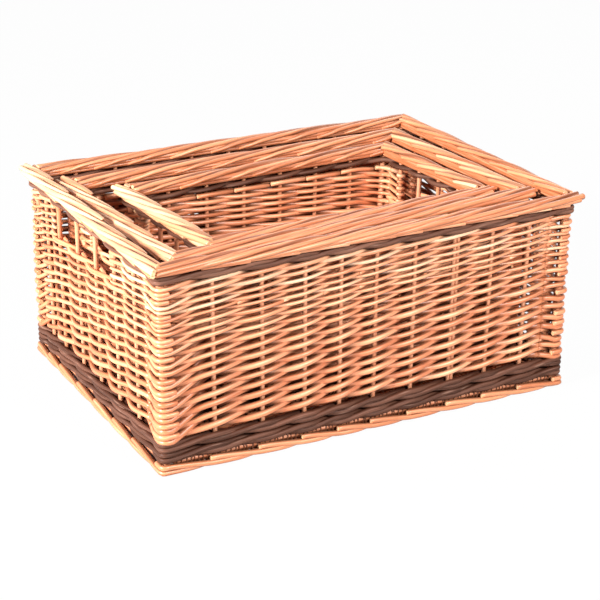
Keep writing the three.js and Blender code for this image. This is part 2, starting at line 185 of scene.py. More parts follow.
class Basket:
    """The plan of one basket, worked out from its CAD nodes. Stakes are numbered anticlockwise from the
    front left corner, whose post is number 0. Heights are above the basket's own foot."""

    def __init__(self, name, bays, turn, rows, seed):
        self.name = name
        self.body = f"{name}_basket"
        self.rows = rows
        self.random = np.random.default_rng(seed)
        self.uniform = self.random.uniform
        long_bays, short_bays = bays
        self.bays = np.array([long_bays, short_bays, long_bays, short_bays])
        self.corners = np.concatenate([[0], np.cumsum(self.bays)[:-1]])
        self.count = int(self.bays.sum())
        low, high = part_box(f"{name}_rim_border")
        self.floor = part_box(f"{name}_foot_border")[0].z
        self.centre = (low + high) / 2
        self.turn = math.radians(turn)
        wide, deep = high.x - low.x, high.y - low.y
        c, s = math.cos(self.turn), math.sin(self.turn)
        self.length = (wide * c - deep * s) / (c * c - s * s)
        self.width = (deep * c - wide * s) / (c * c - s * s)
        self.top = high.z - self.floor
        self.border_low = low.z - self.floor
        self.wale_low, self.wale_high = self.heights("lower_wale")
        self.upper_low, self.upper_high = self.heights("upper_wale")
        self.weave_low, self.weave_high = self.heights("front_weave")
        self.foot_high = self.heights("foot_border")[1]
        self.sill = self.heights("left_weave")[1] - SILL_DROP
        self.base_level = sum(self.heights("base_mat")) / 2
        self.beside_hole = (short_bays - HOLE_BAYS) // 2
        self.set_rows()

    def heights(self, piece):
        low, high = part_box(f"{self.name}_{piece}")
        return low.z - self.floor, high.z - self.floor

    def set_rows(self):
        """The height and the pitch of each row of the weave."""
        places = (np.arange(self.rows) + 0.5) / self.rows
        thickness = np.interp(places, ROW_PLACES, ROW_THICKNESS)
        self.pitch = thickness * (self.weave_high - self.weave_low) / thickness.sum()
        self.row_height = self.weave_low + np.cumsum(self.pitch) - self.pitch / 2

    def level_height(self, level):
        return np.interp(level, np.arange(self.rows), self.row_height)

    def level_radius(self, level):
        """The radius of a weave rod at a level."""
        fill = np.interp(level, (0, self.rows), ROD_FILL[self.name])
        return fill * np.interp(level, np.arange(self.rows), self.pitch)

    def half_run(self, side, z):
        """Half a wall's run between its neighbours' middle planes."""
        lean = END_LEAN * (1 - np.asarray(z) / (self.border_low + LEAN_TOP))
        long_half = self.length / 2 - RIM_OUT - lean
        return np.where(np.asarray(side) % 2 == 0, long_half, self.width / 2 - RIM_OUT)

    def bay(self, side):
        return float(2 * self.half_run(side, self.top) / self.bays[side])

    def world(self, side, along, out, z):
        """Points from a side, the distances along it from its middle and out, and the height."""
        side, along, out, z = np.broadcast_arrays(side, along, out, z)
        across = self.half_run(side + 1, z) + out
        flat = ALONG[side] * along[:, None] + OUTWARD[side] * across[:, None]
        c, s = math.cos(self.turn), math.sin(self.turn)
        x = self.centre.x + flat[:, 0] * c - flat[:, 1] * s
        y = self.centre.y + flat[:, 0] * s + flat[:, 1] * c
        return np.stack([x, y, z + self.floor], axis=1)

    def crosswise(self, side, out, up):
        """Directions across a wall, from how far they go out and up."""
        c, s = math.cos(self.turn), math.sin(self.turn)
        x, y = OUTWARD[side]
        return np.stack([out * (x * c - y * s), out * (x * s + y * c), up], axis=1)

    def shift(self, side, place):
        """How far the stakes near a place in bays stand to the right of even places."""
        shifts = STAKE_SHIFTS.get((self.name, side), ())
        knots = [0, *range(1, len(shifts) + 1), self.bays[side]]
        return np.interp(place, knots, [0, *shifts, 0])

    def by_wall(self, stake, values):
        """A value for each wall, which changes evenly round the corners between them."""
        knots = np.sort(np.concatenate([self.corners[1:] - 0.5, self.corners[1:] + 0.5]))
        return np.interp(stake % self.count, knots, np.repeat(values, 2)[1:-1])

    def at(self, stake, out, z, bend=OUTSIDE_BEND, turn=WEAVE_TURN):
        """Points on the walls from stake numbers, which may go round more than once."""
        stake, out, z, bend = np.broadcast_arrays(np.asarray(stake, float) % self.count, out, z, bend)
        side = np.searchsorted(self.corners, stake, side="right") - 1
        half = self.half_run(side, z)
        place = stake - self.corners[side]
        run = 2 * half * place / self.bays[side]
        for wall in range(4):
            run = run + np.where(side == wall, self.shift(wall, place), 0)
        near = np.minimum(run, 2 * half - run)
        towards = np.where(run < half, -1, 1)
        radius = np.minimum(bend + out, turn)
        straight = bend + out - radius
        travel = (1 - np.clip(near / bend, 0, 1)) * (straight + radius * math.pi / 4)
        angle = np.maximum(travel - straight, 0) / radius
        turned = near < bend
        ahead = half - bend + np.minimum(travel, straight) + radius * np.sin(angle)
        along = np.where(turned, towards * ahead, run - half)
        out = np.where(turned, out - radius + radius * np.cos(angle), out)
        return self.world(side, along, out, z)

    def corner_stakes(self, start, end):
        """The corners' stake numbers between two others, counted on past the first round."""
        turns = range(math.floor(start / self.count), math.ceil(end / self.count) + 1)
        found = [int(c) + t * self.count for t in turns for c in self.corners]
        return [c for c in found if start - 0.5 < c < end + 0.5]

    def stations(self, start, end):
        """Stake numbers at even steps, and more where a rod turns a corner."""
        steps = max(2, round((end - start) * STEPS_PER_BAY))
        found = list(np.linspace(start, end, steps + 1))
        reach = OUTSIDE_BEND / self.bay(FRONT)
        for corner in self.corner_stakes(start, end):
            found += [corner + step * reach for step in CORNER_STEPS if start < corner + step * reach < end]
        found = np.unique(np.round(found, 6))
        return found[np.concatenate([[True], np.diff(found) > LEAST_STEP])]


def lengths_along(points):
    return np.concatenate([[0], np.cumsum(np.linalg.norm(np.diff(points, axis=0), axis=1))])


def with_ends(values):
    """Values with the first and the last one twice."""
    return np.concatenate([values[:1], values, values[-1:]])


class Tube:
    """A rod as rings of points round a line. Its two edges, where it lies between others, get painted
    shade, and the edge is how narrow that is. The inset is how far it lies to the inside, from -1 to 1, and
    darkens its inner side with painted shade; the shade is painted shade all round, and the tip how
    slantingly its far end is cut."""

    def __init__(
        self, random, points, radius, tone,
        sides=SIDES, up=UP, tip=0.0, seam=0.0, edge=6, inset=0.0, shade=0.0,
    ):
        points = np.asarray(points, float)
        count = len(points)
        run = lengths_along(points)
        waves = np.sin(run * random.uniform(*UNEVEN_WAVES) + random.uniform(*PHASE))
        radius = np.broadcast_to(radius, count) * (1 + UNEVENNESS * waves)
        tangent = np.gradient(points, run, axis=0)
        tangent /= np.linalg.norm(tangent, axis=1)[:, None]
        start = points[:1] - tangent[:1] * radius[0] * END_BEVEL
        end = points[-1:] + tangent[-1:] * radius[-1] * END_BEVEL
        points = np.concatenate([start, points, end])
        tangent = with_ends(tangent)
        ends = radius[[0, -1]] * END_BEVEL_RADIUS
        radius = np.concatenate([ends[:1], radius, ends[1:]])
        self.tone = with_ends(np.broadcast_to(tone, count))
        self.run = lengths_along(points)
        up = np.asarray(up, float)
        if up.ndim == 2:
            up = with_ends(up)
        across = np.cross(tangent, up)
        across /= np.linalg.norm(across, axis=1)[:, None]
        upward = np.cross(across, tangent)
        angle = np.arange(sides) * math.tau / sides
        c, s = np.cos(angle), np.sin(angle)
        ring = c[:, None] * across[:, None] + s[:, None] * upward[:, None]
        self.rings = points[:, None] + radius[:, None, None] * ring
        if tip:
            self.rings[-2:] -= (tip * radius[-2] * (s[:, None] + 1) * tangent[-1])[None]
        inset = with_ends(np.broadcast_to(inset, count))
        # Painted shade: on the inner side, all round, and on the two edges between other rods.
        painted_inner_shade = np.clip(INSET_SHADE * inset[:, None] * c, shade, 1)
        self.painted_shade = np.maximum(seam * np.abs(s) ** edge, painted_inner_shade)
        self.sides = sides
        self.radius = radius
        offset = random.uniform(0, GRAIN_LENGTH)
        length = np.repeat(self.run[:, None] + offset, sides, axis=1)
        self.grain = np.stack([length, radius[:, None] * c, radius[:, None] * s], axis=2)


class Pile:
    """Rods that become one mesh. Each is closed, and unrolled on the map for baking: the rods lie end to
    end in rows, and their cut ends in cells along the top."""

    ROW_GUTTER = 1.08
    LENGTH_SLACK = 1.02
    WIDTH_SLACK = 1.2
    ROD_GAP = 0.0005
    FACE_FILL = 0.999
    CAP_BAND = 0.04
    CAP_MARGIN = 0.01
    TOP_MARGIN = 0.002
    CELLS_WIDTH = 0.98
    CELL_FILL = 0.8
    CAP_RADIUS = 0.4

    def __init__(self, basket):
        self.basket = basket
        self.pieces = []

    def add(self, tube, first=0, last=None):
        last = len(tube.rings) if last is None else last
        if last - first > 1:
            self.pieces.append((tube, first, last))

    def rod(self, *args, **options):
        self.add(Tube(self.basket.random, *args, **options))

    def plain_rod(self, kind, points):
        radius, thickness, tones, options = PLAIN_RODS[kind]
        if thickness:
            radius *= self.basket.uniform(*thickness)
        self.rod(points, radius, self.basket.uniform(*tones), **options)

    def lay_out(self):
        """Sets the sizes of the map, in metres, and of its rows and cells."""
        total = sum(t.run[b - 1] - t.run[a] for t, a, b in self.pieces)
        longest = max(float(np.diff(t.run[a:b]).max()) for t, a, b in self.pieces)
        self.girth = max(float(t.radius.max()) for t, a, b in self.pieces) * math.tau
        self.row = self.girth * self.ROW_GUTTER
        self.length = math.sqrt(total * self.row / (1 - self.CAP_BAND)) * self.LENGTH_SLACK + longest
        rows = math.ceil(total / self.length) + 2
        high = rows * self.row / (1 - self.CAP_BAND - self.CAP_MARGIN)
        self.size = max(self.length + longest * self.WIDTH_SLACK, high)
        self.cell = min(self.CAP_BAND, math.sqrt(self.CAP_BAND / (2 * len(self.pieces)))) * self.CELL_FILL

    def unrolled(self, tube, a, b, tape):
        """Where the faces between a tube's rings lie on the map."""
        start = tape + tube.run[a : b - 1] - tube.run[a]
        line = np.floor(start / self.length)
        i, k = np.indices((b - a - 1, tube.sides))
        u0 = (start - line * self.length)[i] / self.size
        u1 = u0 + np.diff(tube.run[a:b])[i] * self.FACE_FILL / self.size
        v0 = (line[i] * self.row + k / tube.sides * self.girth) / self.size
        v1 = v0 + self.girth / tube.sides / self.size
        return np.stack([u0, v0, u0, v1, u1, v1, u1, v0], 2).reshape(-1, 2)

    def in_cell(self, number, sides):
        """Where a cut end lies on the map."""
        angle = np.arange(sides) * math.tau / sides
        columns = int(self.CELLS_WIDTH / self.cell)
        c, s = (wave(angle) * self.cell * self.CAP_RADIUS for wave in (np.cos, np.sin))
        x = (number % columns + 0.5) * self.cell + c + self.CAP_MARGIN
        y = 1 - (number // columns + 0.5) * self.cell - s - self.TOP_MARGIN
        return np.stack([x, y], 1)

    def mesh(self, name):
        """The rods as one mesh, with what their finish reads at each point."""
        self.lay_out()
        points, grains, tones, painted_shades, corners, maps, totals, cuts = ([] for _ in range(8))
        base, tape, cap = 0, 0.0, 0
        for tube, a, b in self.pieces:
            n, sides = b - a, tube.sides
            points.append(tube.rings[a:b].reshape(-1, 3))
            grains.append(tube.grain[a:b].reshape(-1, 3))
            tones.append(np.repeat(tube.tone[a:b], sides))
            painted_shades.append(tube.painted_shade[a:b].ravel())
            corners.append((quads_between(n, sides) + base).ravel())
            totals.append(np.full((n - 1) * sides, 4))
            cuts.append(np.zeros((n - 1) * sides))
            maps.append(self.unrolled(tube, a, b, tape))
            tape = tape + tube.run[b - 1] - tube.run[a] + self.ROD_GAP
            near_ring = base + np.arange(sides)
            for ring in (near_ring[::-1], near_ring + (n - 1) * sides):
                corners.append(ring)
                totals.append([sides])
                cuts.append([1.0])
                maps.append(self.in_cell(cap, sides))
                cap += 1
            base += n * sides
        mesh = bpy.data.meshes.new(name)
        fill(mesh, points, corners, totals, maps)
        write(mesh, "rod_tone", "FLOAT", "POINT", tones, "value")
        # The painted shade of each point.
        write(mesh, "rod_painted_shade", "FLOAT", "POINT", painted_shades, "value")
        write(mesh, "rod_grain", "FLOAT_VECTOR", "POINT", grains, "vector")
        write(mesh, "cut_end", "FLOAT", "FACE", cuts, "value")
        mesh.polygons.foreach_set("use_smooth", np.concatenate(cuts) < 0.5)
        return mesh

    def piece(self, name, slot, replaced):
        """The mesh as an object that rides on the basket and stands for its CAD nodes."""
        basket = self.basket
        whole = f"{basket.name}_{name}_rods"
        piece = bpy.data.objects.new(whole, self.mesh(whole))
        bpy.context.scene.collection.objects.link(piece)
        piece.data.materials.append(MATERIALS[slot])
        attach(piece, basket.body)
        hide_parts(*(f"{basket.name}_{node}" for node in replaced))


def quads_between(rings, sides):
    """The corners of the faces between the rings of a tube."""
    i, k = np.indices((rings - 1, sides))
    after = (k + 1) % sides
    return np.stack([i * sides + k, i * sides + after, (i + 1) * sides + after, (i + 1) * sides + k], 2)


def fill(mesh, points, corners, totals, maps):
    """Gives a mesh its points, its faces and the map for baking."""
    points, corners = np.concatenate(points), np.concatenate(corners)
    totals, maps = np.concatenate(totals), np.concatenate(maps)
    mesh.vertices.add(len(points))
    mesh.vertices.foreach_set("co", points.ravel())
    mesh.loops.add(len(corners))
    mesh.loops.foreach_set("vertex_index", corners.astype(np.int32))
    mesh.polygons.add(len(totals))
    starts = np.concatenate([[0], np.cumsum(totals)[:-1]])
    mesh.polygons.foreach_set("loop_start", starts.astype(np.int32))
    mesh.update(calc_edges=True)
    layer = mesh.uv_layers.new(name="OFBake")
    layer.data.foreach_set("uv", maps.ravel())


def write(mesh, name, kind, domain, values, field):
    attribute = mesh.attributes.new(name, kind, domain)
    attribute.data.foreach_set(field, np.concatenate(values).ravel().astype(np.float32))


def smooth_through(knots, values, where):
    """A smooth line through values at rising knots, which never goes beyond them."""
    knots, values = np.asarray(knots, float), np.asarray(values, float)
    steps = np.diff(values) / np.diff(knots)
    before, after = steps[:-1], steps[1:]
    same_way = before * after > 0
    slope = np.where(same_way, 2 * before * after / np.where(same_way, before + after, 1), 0)
    slope = np.concatenate([steps[:1], slope, steps[-1:]])
    i = np.clip(np.searchsorted(knots, where) - 1, 0, len(knots) - 2)
    gap = knots[i + 1] - knots[i]
    t = np.clip((where - knots[i]) / gap, 0, 1)
    a = (1 + 2 * t) * (1 - t) ** 2 * values[i] + t * (1 - t) ** 2 * gap * slope[i]
    b = t * t * (3 - 2 * t) * values[i + 1] - t * t * (1 - t) * gap * slope[i + 1]
    return a + b


def through_mm(knots, millimetres, where):
    return smooth_through(knots, np.array(millimetres) / 1000, where)


def window(distance, reach):
    """1 at no distance, falling smoothly to 0 at the reach."""
    return np.cos(np.clip(np.abs(distance) / reach, 0, 1) * math.pi / 2) ** 2


# Weave


def choose_wraps(basket):
    """For each corner, the even rows that have a packing rod round the post, and how far the rods of the
    odd rows move to close the places that have none."""
    wraps, shifts = [], []
    for _ in range(4):
        has = basket.random.random(basket.rows + 3) < WRAP_CHANCE
        for row in range(2, basket.rows, 2):
            if not has[row] and not has[row - 2]:
                has[row] = True
        wraps.append([row for row in range(2, basket.rows - 1, 2) if has[row]])
        shift = np.zeros(basket.rows + 3)
        for row in range(1, basket.rows, 2):
            shift[row] = CLOSING_UP * (float(not has[row + 1]) - float(row > 1 and not has[row - 1]))
        shifts.append(shift)
    return wraps, shifts


def dip(basket, row):
    """How far down a rod of a row passes a corner, in rows."""
    return np.interp(row / basket.rows, DIP_PLACES, DIP_ROWS)


def randing_line(basket, start, shifts, first, last):
    """The stake numbers, distances out, heights, bends and levels along one rod of the weave."""
    stake = basket.stations(start + first, start + last)
    level = stake - start
    reach = basket.by_wall(stake, WEAVE_REACH) * (STAKE_RADIUS + basket.level_radius(level))
    out = -reach * np.cos(math.pi * level)
    z = basket.level_height(level) - WEAVE_RISE * basket.level_radius(level) * np.sin(math.pi * level)
    bend = np.full(len(stake), OUTSIDE_BEND)
    for corner in basket.corner_stakes(start + first, start + last):
        row = corner - start
        if not 0 <= row < basket.rows:
            continue
        away = stake - corner
        passing = basket.row_height[row] - dip(basket, row) * basket.pitch[row]
        if row % 2 == 0:
            passing = max(passing, basket.weave_low + LOWEST_PASSING)
            bend[np.abs(away) < 0.5] = INSIDE_BEND
        else:
            index = list(basket.corners).index(corner % basket.count)
            passing += shifts[index][row] * basket.pitch[row]
        past = (np.abs(away) - DIP_LEVEL) / (np.where(away < 0, *DIP_REACH) - DIP_LEVEL)
        share = (1 - np.clip(past, 0, 1)) ** DIP_CURVE
        z = z + share * (passing - z)
    return stake, out, z, bend, level


def hole_edges(basket):
    """The stake numbers of the two sides of each handle hole."""
    lefts = [basket.corners[side] + basket.beside_hole for side in (RIGHT, LEFT)]
    return [(left, left + HOLE_BAYS) for left in lefts]


def clear_of_holes(basket, stake, z, radius):
    """True for the points of a rod that aren't in a handle hole."""
    keep = np.ones(len(stake), bool)
    place = stake % basket.count
    for left, right in hole_edges(basket):
        between = (place > left + HOLE_EDGE) & (place < right - HOLE_EDGE)
        keep &= ~(between & (z + radius > basket.sill))
    return keep


def runs_of(keep):
    """First and last index, and one past it, of each unbroken run of True."""
    padded = np.concatenate([[False], keep, [False]])
    edges = np.flatnonzero(np.diff(padded.astype(int)))
    return list(zip(edges[::2], edges[1::2]))


def hook(basket, stake, out, z, ahead):
    """Points that carry a rod round the edge stake of a hole, from outside to inside."""
    angle = np.linspace(HOOK_START, 1.0, HOOK_POINTS) * math.pi
    reach = abs(out)
    turn = stake + ahead * reach * np.sin(angle) / basket.bay(RIGHT)
    across = reach * np.cos(angle) * np.sign(out)
    height = z + HOOK_CLIMB * angle / math.pi
    points = basket.at(turn, across, height)
    return points if ahead > 0 else points[::-1]


def weave_walls(basket):
    """The four walls' weave: one rod starts behind each stake and climbs one row from stake to stake, and
    one of the second set goes on from it near the rim."""
    piles = [Pile(basket) for _ in range(4)]
    wraps, shifts = choose_wraps(basket)
    change = 2 * round(basket.rows * SECOND_SET / 2)
    top = basket.rows - SHORT_OF_TOP[basket.rows % 2]
    for start in range(basket.count):
        swap = change + int(basket.random.choice(SWAP_CHOICES))
        levels = (FIRST_LEVEL, swap + SWAP_OVERLAP), (swap - SWAP_OVERLAP, top)
        for second, (first, last) in enumerate(levels):
            add_randing_rod(basket, piles, start, shifts, first, last, second)
    for corner in range(4):
        add_wraps(basket, piles[corner], corner, wraps[corner])
    for side in (RIGHT, LEFT):
        add_sill(basket, piles[side], side)
    return piles


def add_randing_rod(basket, piles, start, shifts, first, last, second):
    """A rod of the first or second set, from its first to its last level."""
    stake, out, z, bend, level = randing_line(basket, start, shifts, first, last)
    thick = basket.uniform(*WEAVE_THICKNESS)
    z = z + STRAY * np.sin(level * basket.uniform(*STRAY_WAVES) + basket.uniform(*PHASE))
    radius = basket.level_radius(level) * thick * basket.by_wall(stake, WEAVE_FULLNESS)
    if second:
        out = out + JOIN_OUT * window(level - first, 1)
        radius = radius * SECOND_THICKER
    else:
        tail = window(level - last, 1)
        out = out - JOIN_OUT * tail
        z = z - JOIN_DOWN * tail
        radius = radius * (1 - TAIL_THINNER * tail)
    tone = basket.uniform(*WEAVE_TONES) + SECOND_LIGHTER * second + TONE_CLIMB * level / basket.rows
    # Painted shade: the rods of the right and back walls are darker.
    tone = np.maximum(tone - basket.by_wall(stake, WEAVE_PAINTED_SHADE), 0)
    share_out(basket, piles, stake, out, z, bend, radius, tone)


def share_out(basket, piles, stake, out, z, bend, radius, tone):
    """Cuts a rod at the holes and shares it among the walls, half a bay before each corner."""
    inset = -out / (STAKE_RADIUS + radius)
    line = np.column_stack([basket.at(stake, out, z, bend), radius, stake, tone, inset])
    edges = [edge for pair in hole_edges(basket) for edge in pair]
    for a, b in runs_of(clear_of_holes(basket, stake, z, radius)):
        if b - a < SHORTEST_PART:
            continue
        part = line[a:b]
        for end, ahead in ((a, -1), (b - 1, 1)):
            at_edge = min(abs(stake[end] % basket.count - edge) for edge in edges) < ON_EDGE
            if at_edge and out[end] > 0:
                turn = hook(basket, stake[end], out[end], z[end], ahead)
                more = np.column_stack([turn, np.repeat(line[end : end + 1, 3:], len(turn), axis=0)])
                part = np.concatenate([part, more] if ahead > 0 else [more, part])
        tube = Tube(basket.random, part[:, :3], part[:, 3], part[:, 5], seam=WEAVE_CREASE_SHADE, inset=part[:, 6])
        place = (part[:, 4] + 0.5 + BETWEEN_WALLS) % basket.count - 0.5
        wall = np.searchsorted(basket.corners - 0.5, place, side="right") - 1
        share_among(piles, tube, wall)


def share_among(piles, tube, wall):
    """Adds each stretch of a tube to the pile of its wall. Neighbouring stretches share a ring."""
    wall = with_ends(wall)
    changes = [0, *(np.flatnonzero(np.diff(wall)) + 1), len(wall) - 1]
    for a, b in zip(changes[:-1], changes[1:]):
        piles[wall[a]].add(tube, a, b + 1)


def add_wraps(basket, pile, corner, rows):
    """Short packing rods round the outside of a corner post, with bluntly cut ends."""
    centre = basket.corners[corner]
    for row in rows:
        pitch = basket.pitch[row]
        height = basket.row_height[row] - dip(basket, row) * pitch
        radius = pitch * WRAP_THICK
        high = row / basket.rows
        legs = np.array([np.interp(high, (0, 1), leg) for leg in (WRAP_BEFORE, WRAP_AFTER)])
        before, after = legs * basket.uniform(*WRAP_LENGTHS, 2) / basket.bay(corner)
        stake = basket.stations(centre - before, centre + after)
        out = POST_RADIUS - POST_INSET + radius - WRAP_PRESS * np.abs(stake - centre) / after
        z = height + (stake - centre) * WRAP_CLIMB
        tone = basket.uniform(*WRAP_TONES)
        pile.rod(basket.at(stake, out, z), radius, tone, seam=WEAVE_CREASE_SHADE)


def add_sill(basket, pile, side):
    """Two rods that twist past the stakes along the bottom of a handle hole."""
    left, right = hole_edges(basket)[0 if side == RIGHT else 1]
    for turn in (0, 1):
        stake = basket.stations(left - SILL_REACH, right + SILL_REACH)
        out = SILL_SWING * np.cos(math.pi * (stake - left + turn))
        z = basket.sill - SILL_SEAT + SILL_TWIST * np.sin(math.pi * (stake - left + turn))
        pile.plain_rod("sill", basket.at(stake, out, z))


def weave(basket):
    for side, pile in enumerate(weave_walls(basket)):
        name = f"{SIDE_NAMES[side]}_weave"
        holes = ("", "_front_of_hole", "_back_of_hole") if side in (RIGHT, LEFT) else ("",)
        pile.piece(name, "weave_willow", [name + part for part in holes])


# Stakes

# One stake on the front is two thin ones.
STAKE_START = 0.001
STAKE_END = 0.005
STAKE_POINTS = 24
STAKE_BOW = 0.0003
STAKE_WAVES = 40
DOUBLED = ("outer", FRONT, 7)

# The stick along a wall's lower edge: its radius and tone, and how far from the wall's ends it stops.
EDGE_STICK = (0.0025, 0.5)
STICK_SHORTER = 0.010


def stake_walls(basket):
    """The stakes of each wall on their edge stick. The corner posts belong to the front and back walls."""
    low, high = basket.foot_high + STAKE_START, basket.border_low + STAKE_END
    heights = np.linspace(low, high, STAKE_POINTS)
    for side in range(4):
        pile = Pile(basket)
        for number in range(1, basket.bays[side]):
            add_stake(basket, pile, side, number, heights)
        for end in (-1, 1) if side in (FRONT, BACK) else ():
            along = end * (basket.half_run(side, heights) - POST_INSET)
            points = basket.world(side, along, -POST_INSET, heights)
            pile.plain_rod("post", points)
        half = float(basket.half_run(side, low)) - STICK_SHORTER
        along = np.linspace(-half, half, LONG_ROD_POINTS)
        points = basket.world(side, along, 0.0, (basket.foot_high + basket.wale_low) / 2)
        pile.rod(points, *EDGE_STICK, sides=CORE_SIDES)
        name = f"{SIDE_NAMES[side]}_stakes"
        pile.piece(name, "stake_willow", [name])


def add_stake(basket, pile, side, number, heights):
    stake = basket.corners[side] + number
    doubled = (basket.name, side, number) == DOUBLED
    for shift in (-DOUBLED_RADIUS, DOUBLED_RADIUS) if doubled else (0,):
        place = stake + shift / basket.bay(side) + STAKE_BOW * np.sin(heights * STAKE_WAVES + stake)
        pile.plain_rod("half stake" if doubled else "stake", basket.at(place, 0, heights))


# Wales

# A rod starts before its first stake and ends past its last, in bays. The press is how much nearer to them
# it lies than a stiff one.
WALE_RODS = 3
LOWER_WALE_ROD = 0.0034
UPPER_WALE_ROD = 0.0031
WALE_START = 0.5
WALE_END = 0.35
WALE_PRESS = 0.0006
WALE_STRAY = 0.0004
WALE_TAPER = (1.04, 0.94)
# Painted shade on the wale rods' edges, and how narrow it is.
WALE_CREASE_SHADE = 0.9
WALE_EDGE = 3


def wale_rod(basket, pile, rod, low, height, radius):
    """One of the three rods of a wale: outside two stakes, rising, then inside the third."""
    last = basket.count + rod - 1
    while (last - rod) % WALE_RODS != 2:
        last += 1
    knots = np.arange(rod - 2, last + 3)
    kind = (knots - rod) % WALE_RODS
    reach = STAKE_RADIUS + radius - WALE_PRESS
    outs = np.choose(kind, [reach, reach, -reach])
    lift = np.choose(kind, [radius, height - radius, height / 2])
    lift = lift + basket.uniform(-WALE_STRAY, WALE_STRAY, len(knots))
    start, end = rod - WALE_START, last + WALE_END
    stake = basket.stations(start, end)
    out = smooth_through(knots, outs, stake)
    z = low + smooth_through(knots, lift, stake)
    bend = np.full(len(stake), OUTSIDE_BEND)
    for corner in basket.corner_stakes(start, end):
        if (corner - rod) % WALE_RODS == 2:
            bend[np.abs(stake - corner) < 0.5] = INSIDE_BEND
    taper = np.interp(stake, [start, last], WALE_TAPER)
    tone = basket.uniform(0.0, 1.0)
    line = basket.at(stake, out, z, bend, WALE_TURN)
    pile.rod(line, radius * taper, tone, seam=WALE_CREASE_SHADE, edge=WALE_EDGE, inset=-out / reach)


def wales(basket):
    """Two rounds of waling above the foot, and one under the border."""
    lower, upper = Pile(basket), Pile(basket)
    half = (basket.wale_high - basket.wale_low) / 2
    for turn in (0, 1):
        for rod in range(WALE_RODS):
            wale_rod(basket, lower, rod, basket.wale_low + turn * half, half, LOWER_WALE_ROD)
    height = basket.upper_high - basket.upper_low
    for rod in range(WALE_RODS):
        wale_rod(basket, upper, rod, basket.upper_low, height, UPPER_WALE_ROD)
    lower.piece("lower_wale", "dark_willow", ["lower_wale"])
    upper.piece("upper_wale", "dark_willow", ["upper_wale"])


# Foot border

# A stroke's way, in bays from its stake, and millimetres out and up.
FOOT_PLACES = (-0.10, 0.0, 0.5, 1.0, 1.5, 1.88, 2.1)
FOOT_STROKE_OUT = (6.6, 6.8, 7.2, 7.4, 6.4, 2.6, 1.0)
FOOT_STROKE_UP = (10.1, 10.0, 7.4, 4.2, 3.4, 3.4, 3.4)
FOOT_STRAY = 0.05
FOOT_ROD = 0.00335
FOOT_THICKNESS = (0.95, 1.04)
FOOT_TONES = (0.1, 0.7)
# Painted shade on the strokes' edges, and how narrow it is.
FOOT_CREASE_SHADE = 0.9
FOOT_EDGE = 5

# Hidden rings that fill the foot, and the thin one that it stands on: out, up and radius.
FOOT_RINGS = (
    (0.0010, 0.0016, 0.0015),
    (-0.0034, 0.0036, 0.0034),
    (-0.0015, 0.0095, 0.0030),
)
RING_START = 0.2
RING_LAP = 0.15
# The rings' tone, and the painted shade that darkens them all round, so that the thin one shows as a dark
# shadow line under the foot.
RING_TONE = 0.1
RING_SHADE = 0.8

# The ends of the base's crosswise rods, behind the foot.
BASE_END_HEIGHTS = (0.005, 0.0095, 0.014, 0.018)
BASE_END_LEAN = 0.0012
BASE_END_LEVEL = 0.01
BASE_END_INSET = 0.012
BASE_END_OUT = 0.0012


def foot(basket):
    """Two strokes lie on each other all round: one starts at each stake with a blunt end, sinks past the
    next stake and is tucked in behind the others at the second."""
    pile = Pile(basket)
    for number in range(basket.count):
        start = number + basket.uniform(-FOOT_STRAY, FOOT_STRAY)
        knots = start + np.array(FOOT_PLACES)
        stake = basket.stations(knots[0], knots[-1])
        out = through_mm(knots, FOOT_STROKE_OUT, stake)
        z = through_mm(knots, FOOT_STROKE_UP, stake)
        tone = basket.uniform(*FOOT_TONES)
        radius = FOOT_ROD * basket.uniform(*FOOT_THICKNESS)
        line = basket.at(stake, out, z, turn=FOOT_TURN)
        pile.rod(line, radius, tone, seam=FOOT_CREASE_SHADE, edge=FOOT_EDGE)
    stake = basket.stations(RING_START, basket.count + RING_LAP)
    for out, z, radius in FOOT_RINGS:
        line = basket.at(stake, out, z, turn=FOOT_TURN)
        pile.rod(line, radius, RING_TONE, shade=RING_SHADE)
    add_base_ends(basket, pile)
    pile.piece("foot_border", "border_willow", ["foot_border"])


def add_base_ends(basket, pile):
    """The ends of the base's crosswise rods, turned up and down behind the foot."""
    z = np.array(BASE_END_HEIGHTS)
    for side in (FRONT, BACK):
        half = float(basket.half_run(side, BASE_END_LEVEL)) - BASE_END_INSET
        for along in np.arange(-half, half, BASE_SPACING):
            lean = basket.uniform(-BASE_END_LEAN, BASE_END_LEAN)
            points = basket.world(side, along + lean * np.arange(len(z)), BASE_END_OUT, z)
            pile.plain_rod("base end", points)


# Rim border

# The way of a rod across the border: millimetres out and up from the border's lower face, at shares of its
# length. It is nearly in line with the border outside, and crosses faster to the inner edge. It goes round
# the border's middle.
BORDER_SHARES = (0.0, 0.10, 0.27, 0.42, 0.57, 0.72, 0.86, 0.93, 1.0)
BORDER_WAY_OUT = (9.4, 11.8, 12.4, 10.8, 6.0, -0.6, -5.3, -6.0, -4.2)
BORDER_WAY_UP = (2.8, 4.0, 6.8, 9.0, 9.9, 9.8, 8.0, 4.8, 1.6)
MIDDLE_OUT = 0.004
MIDDLE_UP = 0.0045

